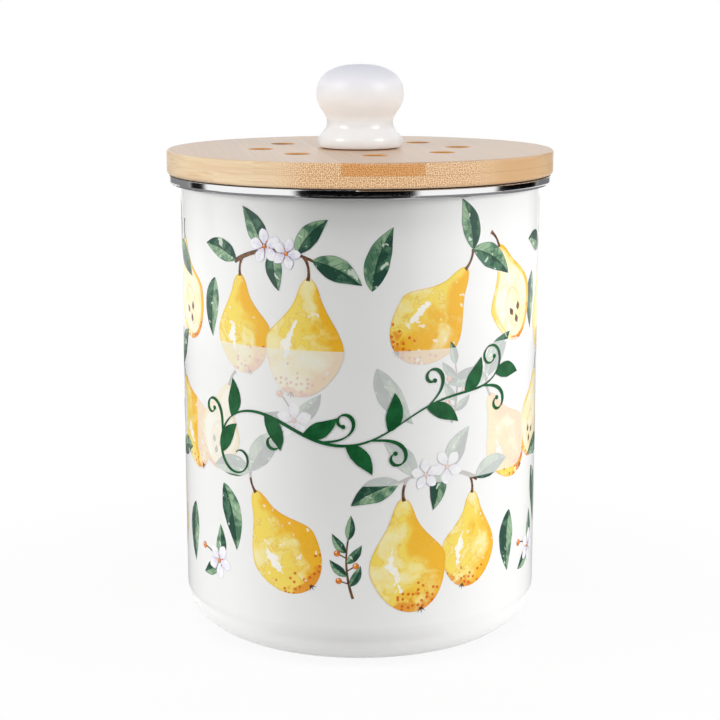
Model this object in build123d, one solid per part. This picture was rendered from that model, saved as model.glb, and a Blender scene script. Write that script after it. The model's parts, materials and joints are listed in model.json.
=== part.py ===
from build123d import *
import os

# Countertop compost caddy: an enamelled steel canister with a steel rim band,
# closed by a vented two-ply bamboo lid. Under the lid hang a bamboo plug ring
# with a silicone gasket and a push-on cage that carries the carbon filter.
# Millimetres. The origin is the centre of the base on the surface that the
# caddy stands on, +Z is up and the front of the caddy looks along -Y.

# Canister
shell_radius = 80.0
rim_height = 205.2
shell_wall = 0.9
base_corner = 18.9
standing_ring = 7.1
panel_slope = 4.0
panel_rise = 1.2
panel_bend = 3.0
mouth_bend = 1.4
hem_bend = 0.6
hem_length = 1.5

# Steel band that is closed round the flange of the canister
band_reach = 5.0
band_gauge = 0.4
band_top_width = 3.6
band_height = 4.4
band_corner = 0.8
band_curl = 1.5
band_wall_gap = 0.15
band_hem_gap = 0.3

# Lid board, two plies of bamboo glued face to face
lid_overhang = 1.0
upper_ply = 5.3
lower_ply = 5.3
top_edge_round = 1.2
under_edge_round = 1.5
grain_turn = 8.0
vent_count = 8
vent_radius = 5.5
vent_easing = 0.6

# Plug ring glued under the board, and its gasket
plug_gap = 4.1
plug_width = 9.5
plug_height = 15.0
plug_chamfer = 1.0
groove_depth = 2.5
groove_height = 5.0
groove_offset = 4.5
lip_count = 3
lip_thickness = 0.7
lip_rise = 0.5

# Knob and what fastens it
knob_height = 36.4
bulb_radius = 19.4
bulb_height = 23.5
bulb_fullness = 1.5
crown_radius = 12.4
crown_drop = 2.2
waist_radius = 14.8
waist_height = 11.2
foot_radius = 18.9
foot_height = 2.2
foot_inset = 1.4
knob_pad_radius = 16.5
knob_pad_thickness = 0.5
knob_well = 2.0
insert_radius = 5.0
insert_length = 18.0
insert_groove_count = 3
insert_groove_depth = 0.4
insert_groove_width = 1.6
screw_radius = 2.45
screw_length = 25.0
screw_head_radius = 4.75
screw_head_height = 3.0
washer_radius = 7.0
washer_thickness = 1.0
counterbore_depth = 3.0

# Filter holder: a collar screwed under the board and a cage pushed into it.
# The vents lie inside the collar, a margin away from its bore.
collar_plug_gap = 1.1
vent_margin = 6.65
collar_wall = 1.8
collar_depth = 10.9
collar_flange = 6.0
collar_flange_thickness = 1.6
collar_screw_count = 4
collar_screw_radius = 1.3
collar_screw_reach = 4.4
collar_head_radius = 2.4
collar_head_height = 1.8
cage_wall = 1.4
cage_floor = 1.6
cage_lip = 1.1
cage_top_gap = 0.5
crush_rib_count = 6
crush_rib_width = 1.5
crush_rib_margin = 1.5
slot_count = 24
slot_width = 3.0
slot_inner_radius = 19.0
slot_outer_margin = 5.0
grip_length = 30.0
grip_width = 3.0
grip_height = 2.0
pad_thickness = 7.0
pad_edge_round = 1.0

# Clearances
slide_gap = 0.3
running_gap = 0.05
bond_gap = 0.05
screw_clearance = 0.3
pad_gap = 0.4
recess_width = 0.9
recess_share = 0.62
recess_depth = 1.2

# Heights and radii that follow from the sizes above
band_radius = shell_radius + band_reach
flange_top = rim_height - band_gauge
mouth_radius = shell_radius - shell_wall
panel_edge = shell_radius - base_corner - standing_ring
lid_radius = band_radius + lid_overhang
board_under = rim_height
ply_joint = board_under + lower_ply
board_top = ply_joint + upper_ply
plug_radius = mouth_radius - plug_gap
plug_bore = plug_radius - plug_width
plug_under = board_under - plug_height
groove_radius = plug_radius - groove_depth
groove_top = board_under - groove_offset
groove_under = groove_top - groove_height
knob_base = board_top + knob_pad_thickness
screw_hole_radius = screw_radius + screw_clearance
counterbore_top = board_under + counterbore_depth
head_seat = counterbore_top - washer_thickness
collar_rim = plug_bore - collar_plug_gap
collar_outer = collar_rim - collar_flange
collar_bore = collar_outer - collar_wall
vent_ring_radius = collar_bore - vent_radius - vent_margin
collar_under = board_under - collar_depth
collar_screw_ring = (collar_outer + collar_rim) / 2
cage_outer = collar_bore - slide_gap
cage_bore = cage_outer - cage_wall
cage_under = collar_under - cage_floor
cage_rim = collar_outer + cage_lip
cage_top = board_under - cage_top_gap
pad_radius = cage_bore - pad_gap

standing = (Align.CENTER, Align.CENTER, Align.MIN)


def turned(outline):
    """Solid of revolution about +Z of a closed outline drawn as (radius, height)."""
    with BuildPart() as piece:
        with BuildSketch(Plane.XZ):
            with BuildLine():
                outline()
            make_face()
        revolve(axis=Axis.Z)
    return piece.part


def disc(radius, low, high):
    """Round disc or pin about the Z axis between two heights."""
    return Pos(0, 0, low) * Cylinder(radius, high - low, align=standing)


def ring(inner, outer, low, high):
    """Flat ring or tube between two radii and two heights."""
    return disc(outer, low, high) - disc(inner, low, high)


def around(count, radius, start=0.0):
    """Locations evenly spaced on a circle about the origin."""
    return PolarLocations(radius, count, start_angle=start)


def edges_at(piece, height, radius):
    """Circular edges of a piece at one height and radius."""
    found = piece.edges().filter_by(GeomType.CIRCLE)
    return [edge for edge in found
            if abs(edge.center().Z - height) < 1e-4 and abs(edge.radius - radius) < 1e-4]


def canister_shell():
    """Deep-drawn sheet: raised base panel, standing ring, wall, flange and hem."""
    hem_radius = shell_radius + band_reach - band_gauge - band_hem_gap - shell_wall
    flange_under = flange_top - shell_wall

    def outline():
        skin = FilletPolyline(
            (0, panel_rise),
            (panel_edge - panel_slope, panel_rise),
            (panel_edge, 0),
            (shell_radius, 0),
            (shell_radius, flange_under),
            (hem_radius, flange_under),
            (hem_radius, flange_under - hem_length),
            radius=(panel_bend, panel_bend, base_corner, mouth_bend, hem_bend),
        )
        offset(skin, amount=shell_wall, side=Side.LEFT)

    return turned(outline)


def rim_band():
    """Strip closed round the flange: flat top, upright face, curl back to the wall."""
    inner_edge = band_radius - band_top_width
    foot = rim_height - band_height

    def outline():
        face = FilletPolyline(
            (inner_edge, rim_height),
            (band_radius, rim_height),
            (band_radius, foot),
            (shell_radius + band_wall_gap, foot),
            radius=(band_corner, band_curl),
        )
        offset(face, amount=band_gauge, side=Side.RIGHT)

    return turned(outline)


def bored_ply(low, high, face, edge_round):
    """Round board with the vents and the screw hole, eased where it meets one face."""
    board = ring(screw_hole_radius, lid_radius, low, high)
    board = fillet(edges_at(board, face, lid_radius), edge_round)
    vent = disc(vent_radius, low, high)
    for place in around(vent_count, vent_ring_radius, grain_turn):
        board = board - place * vent
    return fillet(edges_at(board, face, vent_radius), vent_easing)


def lid_upper_ply():
    """Upper board, rounded along its top edge."""
    return bored_ply(ply_joint, board_top, board_top, top_edge_round)


def collar_screw_places():
    """Places of the small screws that hold the collar under the board."""
    return around(collar_screw_count, collar_screw_ring, grain_turn)


def lid_lower_ply():
    """Lower board, counterbored for the knob screw and drilled for the collar screws."""
    board = bored_ply(board_under, ply_joint, board_under, under_edge_round)
    board = board - disc(washer_radius + screw_clearance, board_under, counterbore_top)
    pilot_top = board_under + collar_screw_reach + bond_gap
    pilot = disc(collar_screw_radius + bond_gap, board_under, pilot_top)
    for place in collar_screw_places():
        board = board - place * pilot
    return board


def lid_plug():
    """Ring glued under the board, grooved for the gasket."""
    def outline():
        Polyline(
            (plug_bore, board_under),
            (plug_bore, plug_under + plug_chamfer),
            (plug_bore + plug_chamfer, plug_under),
            (plug_radius - plug_chamfer, plug_under),
            (plug_radius, plug_under + plug_chamfer),
            (plug_radius, groove_under),
            (groove_radius, groove_under),
            (groove_radius, groove_top),
            (plug_radius, groove_top),
            (plug_radius, board_under),
            close=True,
        )

    return turned(outline)


def lid_gasket():
    """Moulded seal: a band in the groove with thin lips that reach for the wall."""
    root = plug_radius
    tip = mouth_radius - slide_gap
    spacing = groove_height / lip_count

    def lip(index):
        low = groove_under + spacing * index + (spacing - lip_thickness) / 2 - lip_rise / 2
        return [
            (root, low),
            (tip, low + lip_rise),
            (tip, low + lip_rise + lip_thickness / 2),
            (root, low + lip_thickness),
        ]

    def outline():
        points = [(groove_radius + running_gap, groove_under), (root, groove_under)]
        for index in range(lip_count):
            points += lip(index)
        points += [(root, groove_top), (groove_radius + running_gap, groove_top)]
        Polyline(*points, close=True)

    return turned(outline)


def knob():
    """Ceramic knob: domed bulb, waist and flared foot, bored from below."""
    def height(above_base):
        return knob_base + above_base

    well_radius = insert_radius + bond_gap
    well_top = height(insert_length + knob_well)

    def outline():
        Spline(
            (0, height(knob_height)),
            (crown_radius, height(knob_height - crown_drop)),
            (bulb_radius, height(bulb_height)),
            tangents=((1, 0), (0, -1)),
        )
        Spline(
            (bulb_radius, height(bulb_height)),
            (waist_radius, height(waist_height)),
            tangents=((0, -1), (0, -1)),
            tangent_scalars=(bulb_fullness, 1),
        )
        Spline(
            (waist_radius, height(waist_height)),
            (foot_radius, height(foot_height)),
            tangents=((0, -1), (0, -1)),
        )
        Spline(
            (foot_radius, height(foot_height)),
            (foot_radius - foot_inset, knob_base),
            tangents=((0, -1), (-1, 0)),
        )
        Polyline(
            (foot_radius - foot_inset, knob_base),
            (well_radius, knob_base),
            (well_radius, well_top),
            (0, well_top),
            (0, height(knob_height)),
        )

    return turned(outline)


def knob_pad():
    """Thin washer between the knob's foot and the board."""
    return ring(screw_hole_radius, knob_pad_radius, board_top, knob_base)


def knob_insert():
    """Threaded sleeve cemented into the knob, ringed so that the cement keys."""
    def outline():
        points = [(screw_radius + running_gap, knob_base), (insert_radius, knob_base)]
        pitch = insert_length / (insert_groove_count + 1)
        for index in range(insert_groove_count):
            middle = knob_base + pitch * (index + 1)
            low = middle - insert_groove_width / 2
            high = middle + insert_groove_width / 2
            points += [
                (insert_radius, low),
                (insert_radius - insert_groove_depth, low),
                (insert_radius - insert_groove_depth, high),
                (insert_radius, high),
            ]
        top = knob_base + insert_length
        points += [(insert_radius, top), (screw_radius + running_gap, top)]
        Polyline(*points, close=True)

    return turned(outline)


def cross_recess(head_radius, low):
    """Cross-shaped driver recess, cut upwards into a screw head from its face."""
    arm = 2 * head_radius * recess_share
    cross = Box(arm, recess_width, recess_depth, align=standing)
    cross = cross + Box(recess_width, arm, recess_depth, align=standing)
    return Pos(0, 0, low) * cross


def headed_screw(radius, length, head_radius, head_height, seat):
    """Screw that points up, with its head hanging below the face it seats on."""
    head = disc(head_radius, seat - head_height, seat)
    head = fillet(edges_at(head, seat - head_height, head_radius), head_height / 2)
    shank = disc(radius, seat, seat + length)
    shank = chamfer(edges_at(shank, seat + length, radius), radius / 3)
    return head + shank - cross_recess(head_radius, seat - head_height)


def knob_screw():
    """Screw from below, through both boards and up into the knob's insert."""
    return headed_screw(screw_radius, screw_length, screw_head_radius,
                        screw_head_height, head_seat)


def knob_washer():
    """Washer at the top of the counterbore, under the screw's head."""
    return ring(screw_hole_radius, washer_radius, head_seat, counterbore_top)


def filter_collar():
    """Ring screwed under the board, whose bore takes the filter cage."""
    flange_under = board_under - collar_flange_thickness
    collar = ring(collar_bore, collar_outer, collar_under, board_under)
    collar = collar + ring(collar_outer, collar_rim, flange_under, board_under)
    hole = disc(collar_screw_radius + screw_clearance, flange_under, board_under)
    for place in collar_screw_places():
        collar = collar - place * hole
    return collar


def collar_screws():
    """The identical small screws of the collar, as separate solids of one node."""
    seat = board_under - collar_flange_thickness
    length = collar_flange_thickness + collar_screw_reach
    screw = headed_screw(collar_screw_radius, length, collar_head_radius,
                         collar_head_height, seat)
    return Compound(children=[place * screw for place in collar_screw_places()])


def filter_cage():
    """Cup that is pushed up into the collar: slotted floor, crush ribs, finger grip."""
    floor_top = cage_under + cage_floor
    cage = ring(cage_bore, cage_outer, floor_top, cage_top)
    cage = cage + disc(cage_rim, cage_under, floor_top)

    rib_low = collar_under + crush_rib_margin
    rib_depth = cage_wall / 2 + slide_gap - running_gap
    rib_place = cage_outer - cage_wall / 2 + rib_depth / 2
    rib_rise = cage_top - crush_rib_margin - rib_low
    rib = Box(rib_depth, crush_rib_width, rib_rise, align=standing)
    for place in around(crush_rib_count, rib_place):
        cage = cage + Pos(0, 0, rib_low) * place * rib

    slot_length = cage_bore - slot_outer_margin - slot_inner_radius
    slot_middle = slot_inner_radius + slot_length / 2
    slot = extrude(SlotOverall(slot_length, slot_width), cage_floor)
    for place in around(slot_count, slot_middle):
        cage = cage - Pos(0, 0, cage_under) * place * slot

    grip = Box(grip_length, grip_width, grip_height,
               align=(Align.CENTER, Align.CENTER, Align.MAX))
    grip = fillet(grip.edges().filter_by(Axis.Z), grip_width / 3)
    return cage + Pos(0, 0, cage_under) * grip


def carbon_filter():
    """Round felt pad that lies on the floor of the cage."""
    low = cage_under + cage_floor
    high = low + pad_thickness
    pad = disc(pad_radius, low, high)
    pad = fillet(edges_at(pad, low, pad_radius), pad_edge_round)
    return fillet(edges_at(pad, high, pad_radius), pad_edge_round)


makers = (
    canister_shell,
    rim_band,
    lid_upper_ply,
    lid_lower_ply,
    lid_plug,
    lid_gasket,
    knob,
    knob_pad,
    knob_insert,
    knob_screw,
    knob_washer,
    filter_collar,
    collar_screws,
    filter_cage,
    carbon_filter,
)

os.makedirs("parts", exist_ok=True)
for maker in makers:
    piece = maker()
    node = maker.__name__
    piece.label = node
    export_step(piece, f"parts/{node}.step")
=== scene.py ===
# %% [markdown]
# A compost caddy: an enamelled steel canister with a polished rim, closed by a bamboo lid.
# Every solid piece comes from the frame, at its real size and place. This script gives each
# one its finish, makes the fired print and the felt filter pad, and sets up the studio.
# Lengths are in metres, +Z is up, and the front of the canister looks along -Y.

# %% Load the frame
import json
from math import atan2, cos, hypot, pi, radians, sin

import bpy
import numpy as np
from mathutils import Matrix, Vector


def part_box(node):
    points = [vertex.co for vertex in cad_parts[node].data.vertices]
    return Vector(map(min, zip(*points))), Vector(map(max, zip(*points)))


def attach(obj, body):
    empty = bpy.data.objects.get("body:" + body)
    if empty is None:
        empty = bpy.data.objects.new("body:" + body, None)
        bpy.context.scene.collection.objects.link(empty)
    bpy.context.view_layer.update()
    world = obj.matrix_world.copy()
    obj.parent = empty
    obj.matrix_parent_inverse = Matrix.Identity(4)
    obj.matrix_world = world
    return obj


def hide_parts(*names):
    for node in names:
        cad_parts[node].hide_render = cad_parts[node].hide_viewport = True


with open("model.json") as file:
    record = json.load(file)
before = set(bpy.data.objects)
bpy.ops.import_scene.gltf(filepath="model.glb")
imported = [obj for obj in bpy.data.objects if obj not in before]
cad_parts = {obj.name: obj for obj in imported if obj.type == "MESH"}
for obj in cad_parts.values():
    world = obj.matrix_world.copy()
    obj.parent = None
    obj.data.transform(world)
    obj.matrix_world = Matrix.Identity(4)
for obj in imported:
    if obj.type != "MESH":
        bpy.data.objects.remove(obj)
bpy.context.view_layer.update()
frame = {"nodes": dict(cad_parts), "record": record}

MM = 0.001
nodes = frame["nodes"]

# %% [markdown]
# The solids' sizes are read from the frame and never typed again, so the looks follow them:
# the straight wall's radius for the print, the boards' heights, and the angle by which the lid
# stands turned, which the grain and the vents share. The straight wall's foot and top are
# measured and printed as well.

# %% Measure the frame
def points_of(node):
    """The vertices of a node as rows of x, y, z."""
    mesh = nodes[node].data
    flat = np.empty(3 * len(mesh.vertices), np.float32)
    mesh.vertices.foreach_get("co", flat)
    return flat.reshape(-1, 3).astype(float)

shell = points_of("canister_shell")
off_axis = np.hypot(shell[:, 0], shell[:, 1])
rim_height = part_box("canister_shell")[1].z
wall_radius = off_axis[shell[:, 2] < rim_height / 2].max()
on_wall = off_axis > wall_radius - 0.01 * MM
wall_foot = shell[on_wall, 2].min()
wall_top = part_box("rim_band")[0].z
print(f"wall radius {wall_radius:.4f}, straight from {wall_foot:.4f} up to {wall_top:.4f}")

board_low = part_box("lid_lower_ply")[0].z
ply_low, ply_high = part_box("lid_upper_ply")
glue_line, board_top, board_radius = ply_low.z, ply_high.z, ply_high.x
vents = [o["box_m"] for o in frame["record"]["physics"]["openings"] if o["name"].startswith("vent_")]
vent_x, vent_y = [(vents[0][0][k] + vents[0][1][k]) / 2 for k in (0, 1)]
vent_ring = hypot(vent_x, vent_y)
lid_turn = atan2(vent_y, vent_x)
upper = points_of("lid_upper_ply")
vent_radius = np.hypot(upper[:, 0] - vent_x, upper[:, 1] - vent_y).min()
print(f"boards {board_low:.4f} to {glue_line:.4f} to {board_top:.4f}, {len(vents)} vents of radius "
      f"{vent_radius:.4f} at {vent_ring:.4f}, lid turned {lid_turn:.3f} rad")

# %% [markdown]
# A finish is a small graph of shader nodes, easiest to read as sums: Signal wraps one socket
# and its operators add the Math nodes, and Graph adds any other node from its type, its
# settings and its sockets. Numbers alone stay in Python.

# %% Shader maths
def pick(sockets, key):
    """A socket by its number, its identifier or its name."""
    if isinstance(key, int):
        return sockets[key]
    return next((s for s in sockets if s.identifier == key), None) or sockets[key]


class Signal:
    """One value that changes over a surface: arithmetic on it adds Math nodes to its graph."""

    def __init__(self, graph, socket):
        self.graph = graph
        self.socket = socket

    def math(self, operation, *others):
        return self.graph.node("Math", {"operation": operation}, dict(enumerate([self, *others])))

    def __add__(self, other):
        return self.math("ADD", other)

    def __sub__(self, other):
        return self.math("SUBTRACT", other)

    def __mul__(self, other):
        return self.math("MULTIPLY", other)

    def __truediv__(self, other):
        return self.math("DIVIDE", other)

    def __rsub__(self, other):
        return self.graph.node("Math", {"operation": "SUBTRACT"}, {0: other, 1: self})

    __radd__ = __add__
    __rmul__ = __mul__

    def parts(self):
        """The x, y and z of a place."""
        return self.graph.node("SeparateXYZ", {}, {0: self}, ("X", "Y", "Z"))

    def size(self):
        """The value without its sign."""
        return self.math("ABSOLUTE")

    def diagonal(self, other):
        """The length that this value and another span at a right angle."""
        return (self * self + other * other).math("SQRT")

    def step(self, low, high):
        """A smooth step from 0 at low to 1 at high; low may be above high."""
        sockets = {"Value": self, "From Min": low, "From Max": high}
        return self.graph.node("MapRange", {"interpolation_type": "SMOOTHSTEP"}, sockets)

    def mix(self, *colours):
        """The colour at this share of the way between two, each of them a signal or a screen's
        red, green and blue, 0 to 255."""
        first, second = [c if isinstance(c, Signal) else paint(*c) for c in colours]
        sockets = {"Factor_Float": self, "A_Color": first, "B_Color": second}
        return self.graph.node("Mix", {"data_type": "RGBA"}, sockets, "Result_Color")

    def toned(self, share, colour):
        """This colour with another laid over it, by a share."""
        return share.mix(self, colour)

    def blend(self, first, second):
        """The shader at this share of the way between two."""
        return self.graph.node("MixShader", {}, {0: self, 1: first, 2: second})

    def relief(self, depth, **under):
        """A Bump that is depth metres proud where this value is 1, on a Normal if one is given."""
        sockets = {"Height": self, "Strength": 1.0, "Distance": depth, **under}
        return self.graph.node("Bump", {}, sockets)


class Graph:
    """The shader nodes of a material or of the world."""

    def __init__(self, owner):
        owner.use_nodes = True
        self.tree = owner.node_tree

    def node(self, kind, settings={}, sockets={}, out=0):
        """Adds a node: its settings come first, then values or links go into its sockets."""
        made = self.tree.nodes.new("ShaderNode" + kind)
        for name, value in settings.items():
            setattr(made, name, value)
        for name, value in sockets.items():
            self.join(pick(made.inputs, name), value)
        if isinstance(out, tuple):
            return [Signal(self, pick(made.outputs, name)) for name in out]
        return Signal(self, pick(made.outputs, out))

    def join(self, socket, value):
        """Links a signal to a socket, or sets the socket to a plain value."""
        if isinstance(value, Signal):
            self.tree.links.new(value.socket, socket)
        else:
            socket.default_value = value


class Finish(Graph):
    """A material for one real finish, with its Principled shader waiting for values. It knows
    its place: Object coordinates, which may be turned about the upright axis."""

    def __init__(self, name, turn=0.0):
        self.turn = turn
        self.material = bpy.data.materials.new(name)
        super().__init__(self.material)
        self.shader = self.tree.nodes["Principled BSDF"]
        self.surface = Signal(self, self.shader.outputs[0])
        self.here = self.place()
        self.x, self.y, self.z = self.here.parts()

    def place(self, scale=(1, 1, 1)):
        """The place, stretched by a scale along each axis."""
        sockets = {"Vector": self.node("TexCoord", out="Object"), "Rotation": (0, 0, -self.turn)}
        turned = self.node("Mapping", {}, sockets)
        return self.node("VectorMath", {"operation": "MULTIPLY"}, {0: turned, 1: scale})

    def bearing(self):
        """How far round the axis a point is, to the right of straight ahead."""
        return self.x.math("ARCTAN2", self.y * -1.0)

    def noise(self, scale, detail=2.0, roughness=0.5, distortion=0.0, where=None):
        """Smooth noise about 0.5; scale counts its features in a metre."""
        sockets = {"Vector": where or self.here, "Scale": scale, "Detail": detail}
        return self.node("TexNoise", {}, {**sockets, "Roughness": roughness, "Distortion": distortion})

    def cells(self, where, scale, randomness, dimensions="2D"):
        """Cells round scattered points: the distance from the point, and a colour for the cell."""
        sockets = {"Vector": where, "Scale": scale, "Randomness": randomness}
        return self.node("TexVoronoi", {"voronoi_dimensions": dimensions}, sockets, ("Distance", "Color"))

    def set(self, **values):
        """Values or links for the Principled shader; an underscore stands for a space."""
        for name, value in values.items():
            self.join(self.shader.inputs[name.replace("_", " ")], value)

    def show(self, shader):
        """Puts another shader in the Principled one's place."""
        self.join(self.tree.nodes["Material Output"].inputs["Surface"], shader)


def paint(red, green, blue):
    """A screen's colour, 0 to 255, turned into light."""
    shares = [v / 255 for v in (red, green, blue)]
    return (*[v / 12.92 if v <= 0.04045 else ((v + 0.055) / 1.055) ** 2.4 for v in shares], 1.0)


def dress(finish, *names):
    """Puts a finish on the CAD nodes of those names."""
    for name in names:
        for held in nodes[name].material_slots:
            held.material = finish.material
    print(finish.material.name, "on", ", ".join(names))

# %% [markdown]
# The canister is steel with white glass fused to it. Fired enamel is glossy and very slightly
# wavy, and its white varies by a hair where the coat is thicker. The ring that it stands on
# is rubbed grey by the worktop.

# %% Enamel
def enamel_skin(finish):
    """The waviness and gloss that bare enamel and fired print share."""
    waves, pores = finish.noise(90, 2), finish.noise(900, 1)
    finish.set(Roughness=0.13 + 0.09 * finish.noise(35, 3), IOR=1.52)
    finish.set(Normal=(waves + 0.05 * pores).relief(0.025 * MM))


enamel = Finish("white_enamel")
height = enamel.z
cloud = enamel.noise(28, 3)
white = cloud.mix((240, 240, 239), (245, 245, 244))
rub = height.step(0.5 * MM, 0.1 * MM) * enamel.noise(420, 4).step(0.35, 0.6)
enamel.set(Base_Color=white.toned(rub * 0.22, (120, 118, 114)))
enamel_skin(enamel)
dress(enamel, "canister_shell")

# %% [markdown]
# The rim is a strip of stainless steel rolled round the mouth and polished with a wheel. The
# wheel leaves hairlines that run round the band, so the noise changes quickly up the strip
# and hardly at all along it. A rolled strip is never dead flat, so a shallow crown bends its
# reflections. The seat under the lid is painted dark grey and made dull, and the underside of
# the curl is painted dark grey: painted shade and painted dark reflections where the band meets
# the lid and the wall.

# %% Polished rim
band_low, band_high = [corner.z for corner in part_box("rim_band")]
band_middle, band_half = (band_low + band_high) / 2, (band_high - band_low) / 2
crown_rise = 0.10 * MM

steel = Finish("polished_rim_steel")
height = steel.z
hairlines = steel.noise(120, 3, 0.6, where=steel.place((1, 1, 90)))
smears = steel.noise(60, 3)
crown = (height - band_middle) / band_half
# painted shade: the seat and the curl's underside are darkened grey, for the gaps' shade
seat_painted_shade = height.step(band_high - 0.56 * MM, band_high - 0.44 * MM)
curl = height.step(band_low + 0.45 * MM, band_low + 0.2 * MM)
bright = smears.mix((240, 240, 240), (248, 248, 248))
steel.set(Base_Color=bright.toned(seat_painted_shade * 0.93 + curl * 0.6, (88, 88, 90)), Metallic=1.0)
steel.set(Roughness=0.05 + 0.06 * hairlines + 0.04 * smears + 0.3 * seat_painted_shade)
crowned = (crown * crown * -1.0).relief(crown_rise)
steel.set(Normal=hairlines.relief(0.001 * MM, Normal=crowned))
dress(steel, "rim_band")

# %% [markdown]
# Bamboo board is split culm, planed into strips and glued side by side. Streaks along the
# grain stand for the fibres, under a satin lacquer. On the edge the cut turns from across the
# grain, at the front, to along it, at the sides: a mask made from the bearing blends a dense
# field of dark bundle ends into long fine dashes that run round the edge.

# %% Bamboo
bamboo = Finish("bamboo_board", lid_turn)
across, along, up = bamboo.x, bamboo.y, bamboo.z
strip_width = 34 * MM
strip_shift = 19.4 * MM
lower_shift = 15 * MM
first_strip = 40
lower_number = 27           # the lower ply's strips are numbered this much further on
golden = 0.618

# Which strip a point is in: the lower ply's strips are shifted against the upper ply's. A
# strip's tone is its number times the golden section, without the whole part.
is_lower = up.step(glue_line + 0.02 * MM, glue_line - 0.02 * MM)
strip_place = (across + strip_shift + is_lower * lower_shift) / strip_width + first_strip
strip_number = strip_place.math("FLOOR") + is_lower * lower_number
strip_tone = (strip_number * golden + 0.1).math("FRACT") * (1 - 0.6 * is_lower)
seam = (strip_place.math("FRACT") - 0.5).size().step(0.496, 0.4998)

# Where the point is on the board: out on the edge, and how squarely the edge cuts the grain.
from_axis = across.diagonal(along)
on_edge = from_axis.step(board_radius - 1.1 * MM, board_radius - 0.3 * MM)
bearing = bamboo.bearing()
end_cut = bearing.math("SINE").size().step(0.62, 0.36)

# Fibres of the faces, drawn out fifty times or more along the grain.
broad = bamboo.noise(170, 4, 0.6, where=bamboo.place((1, 0.02, 0.6)))
fine = bamboo.noise(1300, 3, 0.6, where=bamboo.place((1, 0.008, 1)))

# Bundle ends of the cut edge, and dashes along it, on the edge unrolled and drawn out.
cut_face = bamboo.node("CombineXYZ", {}, {0: across, 1: up})
bundle_end = bamboo.cells(cut_face, 1380.0, 0.6)[0].step(0.44, 0.14)
round_edge = bearing * (board_radius * 0.055)
unrolled = bamboo.node("CombineXYZ", {}, {0: round_edge, 1: up, 2: strip_number * 0.01})
dashes = bamboo.noise(900, 3, 0.6, where=unrolled)
bands = bamboo.noise(260, 3, 0.6, where=unrolled)

face = ((strip_tone * 0.7).mix((227, 192, 158), (215, 176, 140))
        .toned(broad.step(0.4, 0.75) * 0.3, (198, 160, 128))
        .toned(fine.step(0.45, 0.8) * 0.2, (184, 144, 110))
        .toned(seam * 0.3, (170, 130, 96)))

# painted shade: the edge is painted darker towards the right side
right_painted_shade = bearing.step(0.1, 0.6) * (0.9 - 0.25 * bearing.step(0.75, 1.1))
side = (bands.step(0.35, 0.7).mix((243, 219, 181), (233, 200, 158))
        .toned(dashes.step(0.5, 0.75) * 0.6, (216, 166, 112))
        .toned(dashes.step(0.42, 0.25) * 0.5, (244, 224, 190))
        .toned(right_painted_shade, (223, 177, 126)))

ends = (strip_tone.step(0.5, 0.75).mix((246, 213, 169), (233, 176, 115))
        .toned(bundle_end * (0.5 + 0.5 * end_cut), (188, 108, 46))
        .toned(fine.step(0.5, 0.8) * 0.15, (206, 146, 88)))
glue = (up - glue_line).size().step(0.15 * MM, 0.04 * MM)
worn = bamboo.noise(90, 2, where=unrolled).step(0.45, 0.6)
edge = side.toned(end_cut, ends).toned(glue * (0.15 + 0.5 * worn), (176, 122, 70))

# Walls of the vents: the drill burns them a little and oil soaks into them. Deeper in the
# holes they are painted darker still, as painted shade. The plane is folded so that one
# distance serves all the vents.
sector = 2 * pi / len(vents)
sectors_round = along.math("ARCTAN2", across) / sector + 0.5 + len(vents)
folded = (sectors_round.math("FRACT") - 0.5) * sector
vent_across = from_axis * folded.math("COSINE") - vent_ring
from_vent = vent_across.diagonal(from_axis * folded.math("SINE"))
burnt = from_vent.step(vent_radius + 0.5 * MM, vent_radius + 0.1 * MM)
vent_depth_shade = up.step(board_top - 0.3 * MM, board_top - 1.7 * MM)
charred_and_painted_shade = vent_depth_shade.mix((222, 152, 66), (160, 76, 18))

bamboo.set(Base_Color=face.toned(on_edge, edge).toned(burnt * 0.9, charred_and_painted_shade), IOR=1.46)
bamboo.set(Coat_Weight=0.45 - 0.45 * burnt, Coat_Roughness=0.22, Coat_IOR=1.5)
bamboo.set(Roughness=0.34 + 0.14 * fine - 0.05 * burnt)
bamboo.set(Normal=(fine * 0.4 + bundle_end * on_edge * -0.5 + broad * 0.3).relief(0.02 * MM))
dress(bamboo, "lid_upper_ply", "lid_lower_ply", "lid_plug")

# %% [markdown]
# The knob is white porcelain under a thick glaze, the glossiest thing on the lid. Light goes
# some way into porcelain and comes out again elsewhere, so its shading is soft. The glaze
# runs down while it melts, which leaves the bulb more satin than the foot. Its colour is
# painted by height: greyer and cooler at the crown as painted shade, whiter at the foot as
# painted light. Its pad is a thin rubber washer, coloured brown so that the line it makes
# under the foot also stands for the painted shade of the gap there.

# %% Glaze and rubber
knob_low, knob_high = [corner.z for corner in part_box("knob")]
glaze = Finish("knob_glaze")
height = glaze.z
pooled = glaze.noise(130, 3)
# painted shade on the crown and painted light on the foot, set by height
crown_painted_shade = height.step((knob_low + knob_high) / 2, knob_high)
foot_painted_light = height.step(knob_low + 15 * MM, knob_low + 8 * MM)
satin = height.step(knob_low + 8 * MM, knob_low + 20 * MM)
clay = pooled.mix((241, 240, 239), (246, 245, 244))
clay = clay.toned(foot_painted_light, (255, 255, 254)).toned(crown_painted_shade, (228, 228, 238))
glaze.set(Base_Color=clay, IOR=1.5, Roughness=0.18 + 0.05 * pooled + 0.22 * satin)
glaze.set(Subsurface_Weight=0.75, Subsurface_Scale=14 * MM, Subsurface_Radius=(1.0, 0.97, 0.94))
glaze.set(Normal=glaze.noise(160, 2).relief(0.03 * MM))
dress(glaze, "knob")

pad_rubber = Finish("pad_rubber")
dust = pad_rubber.noise(1400, 3)
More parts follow.
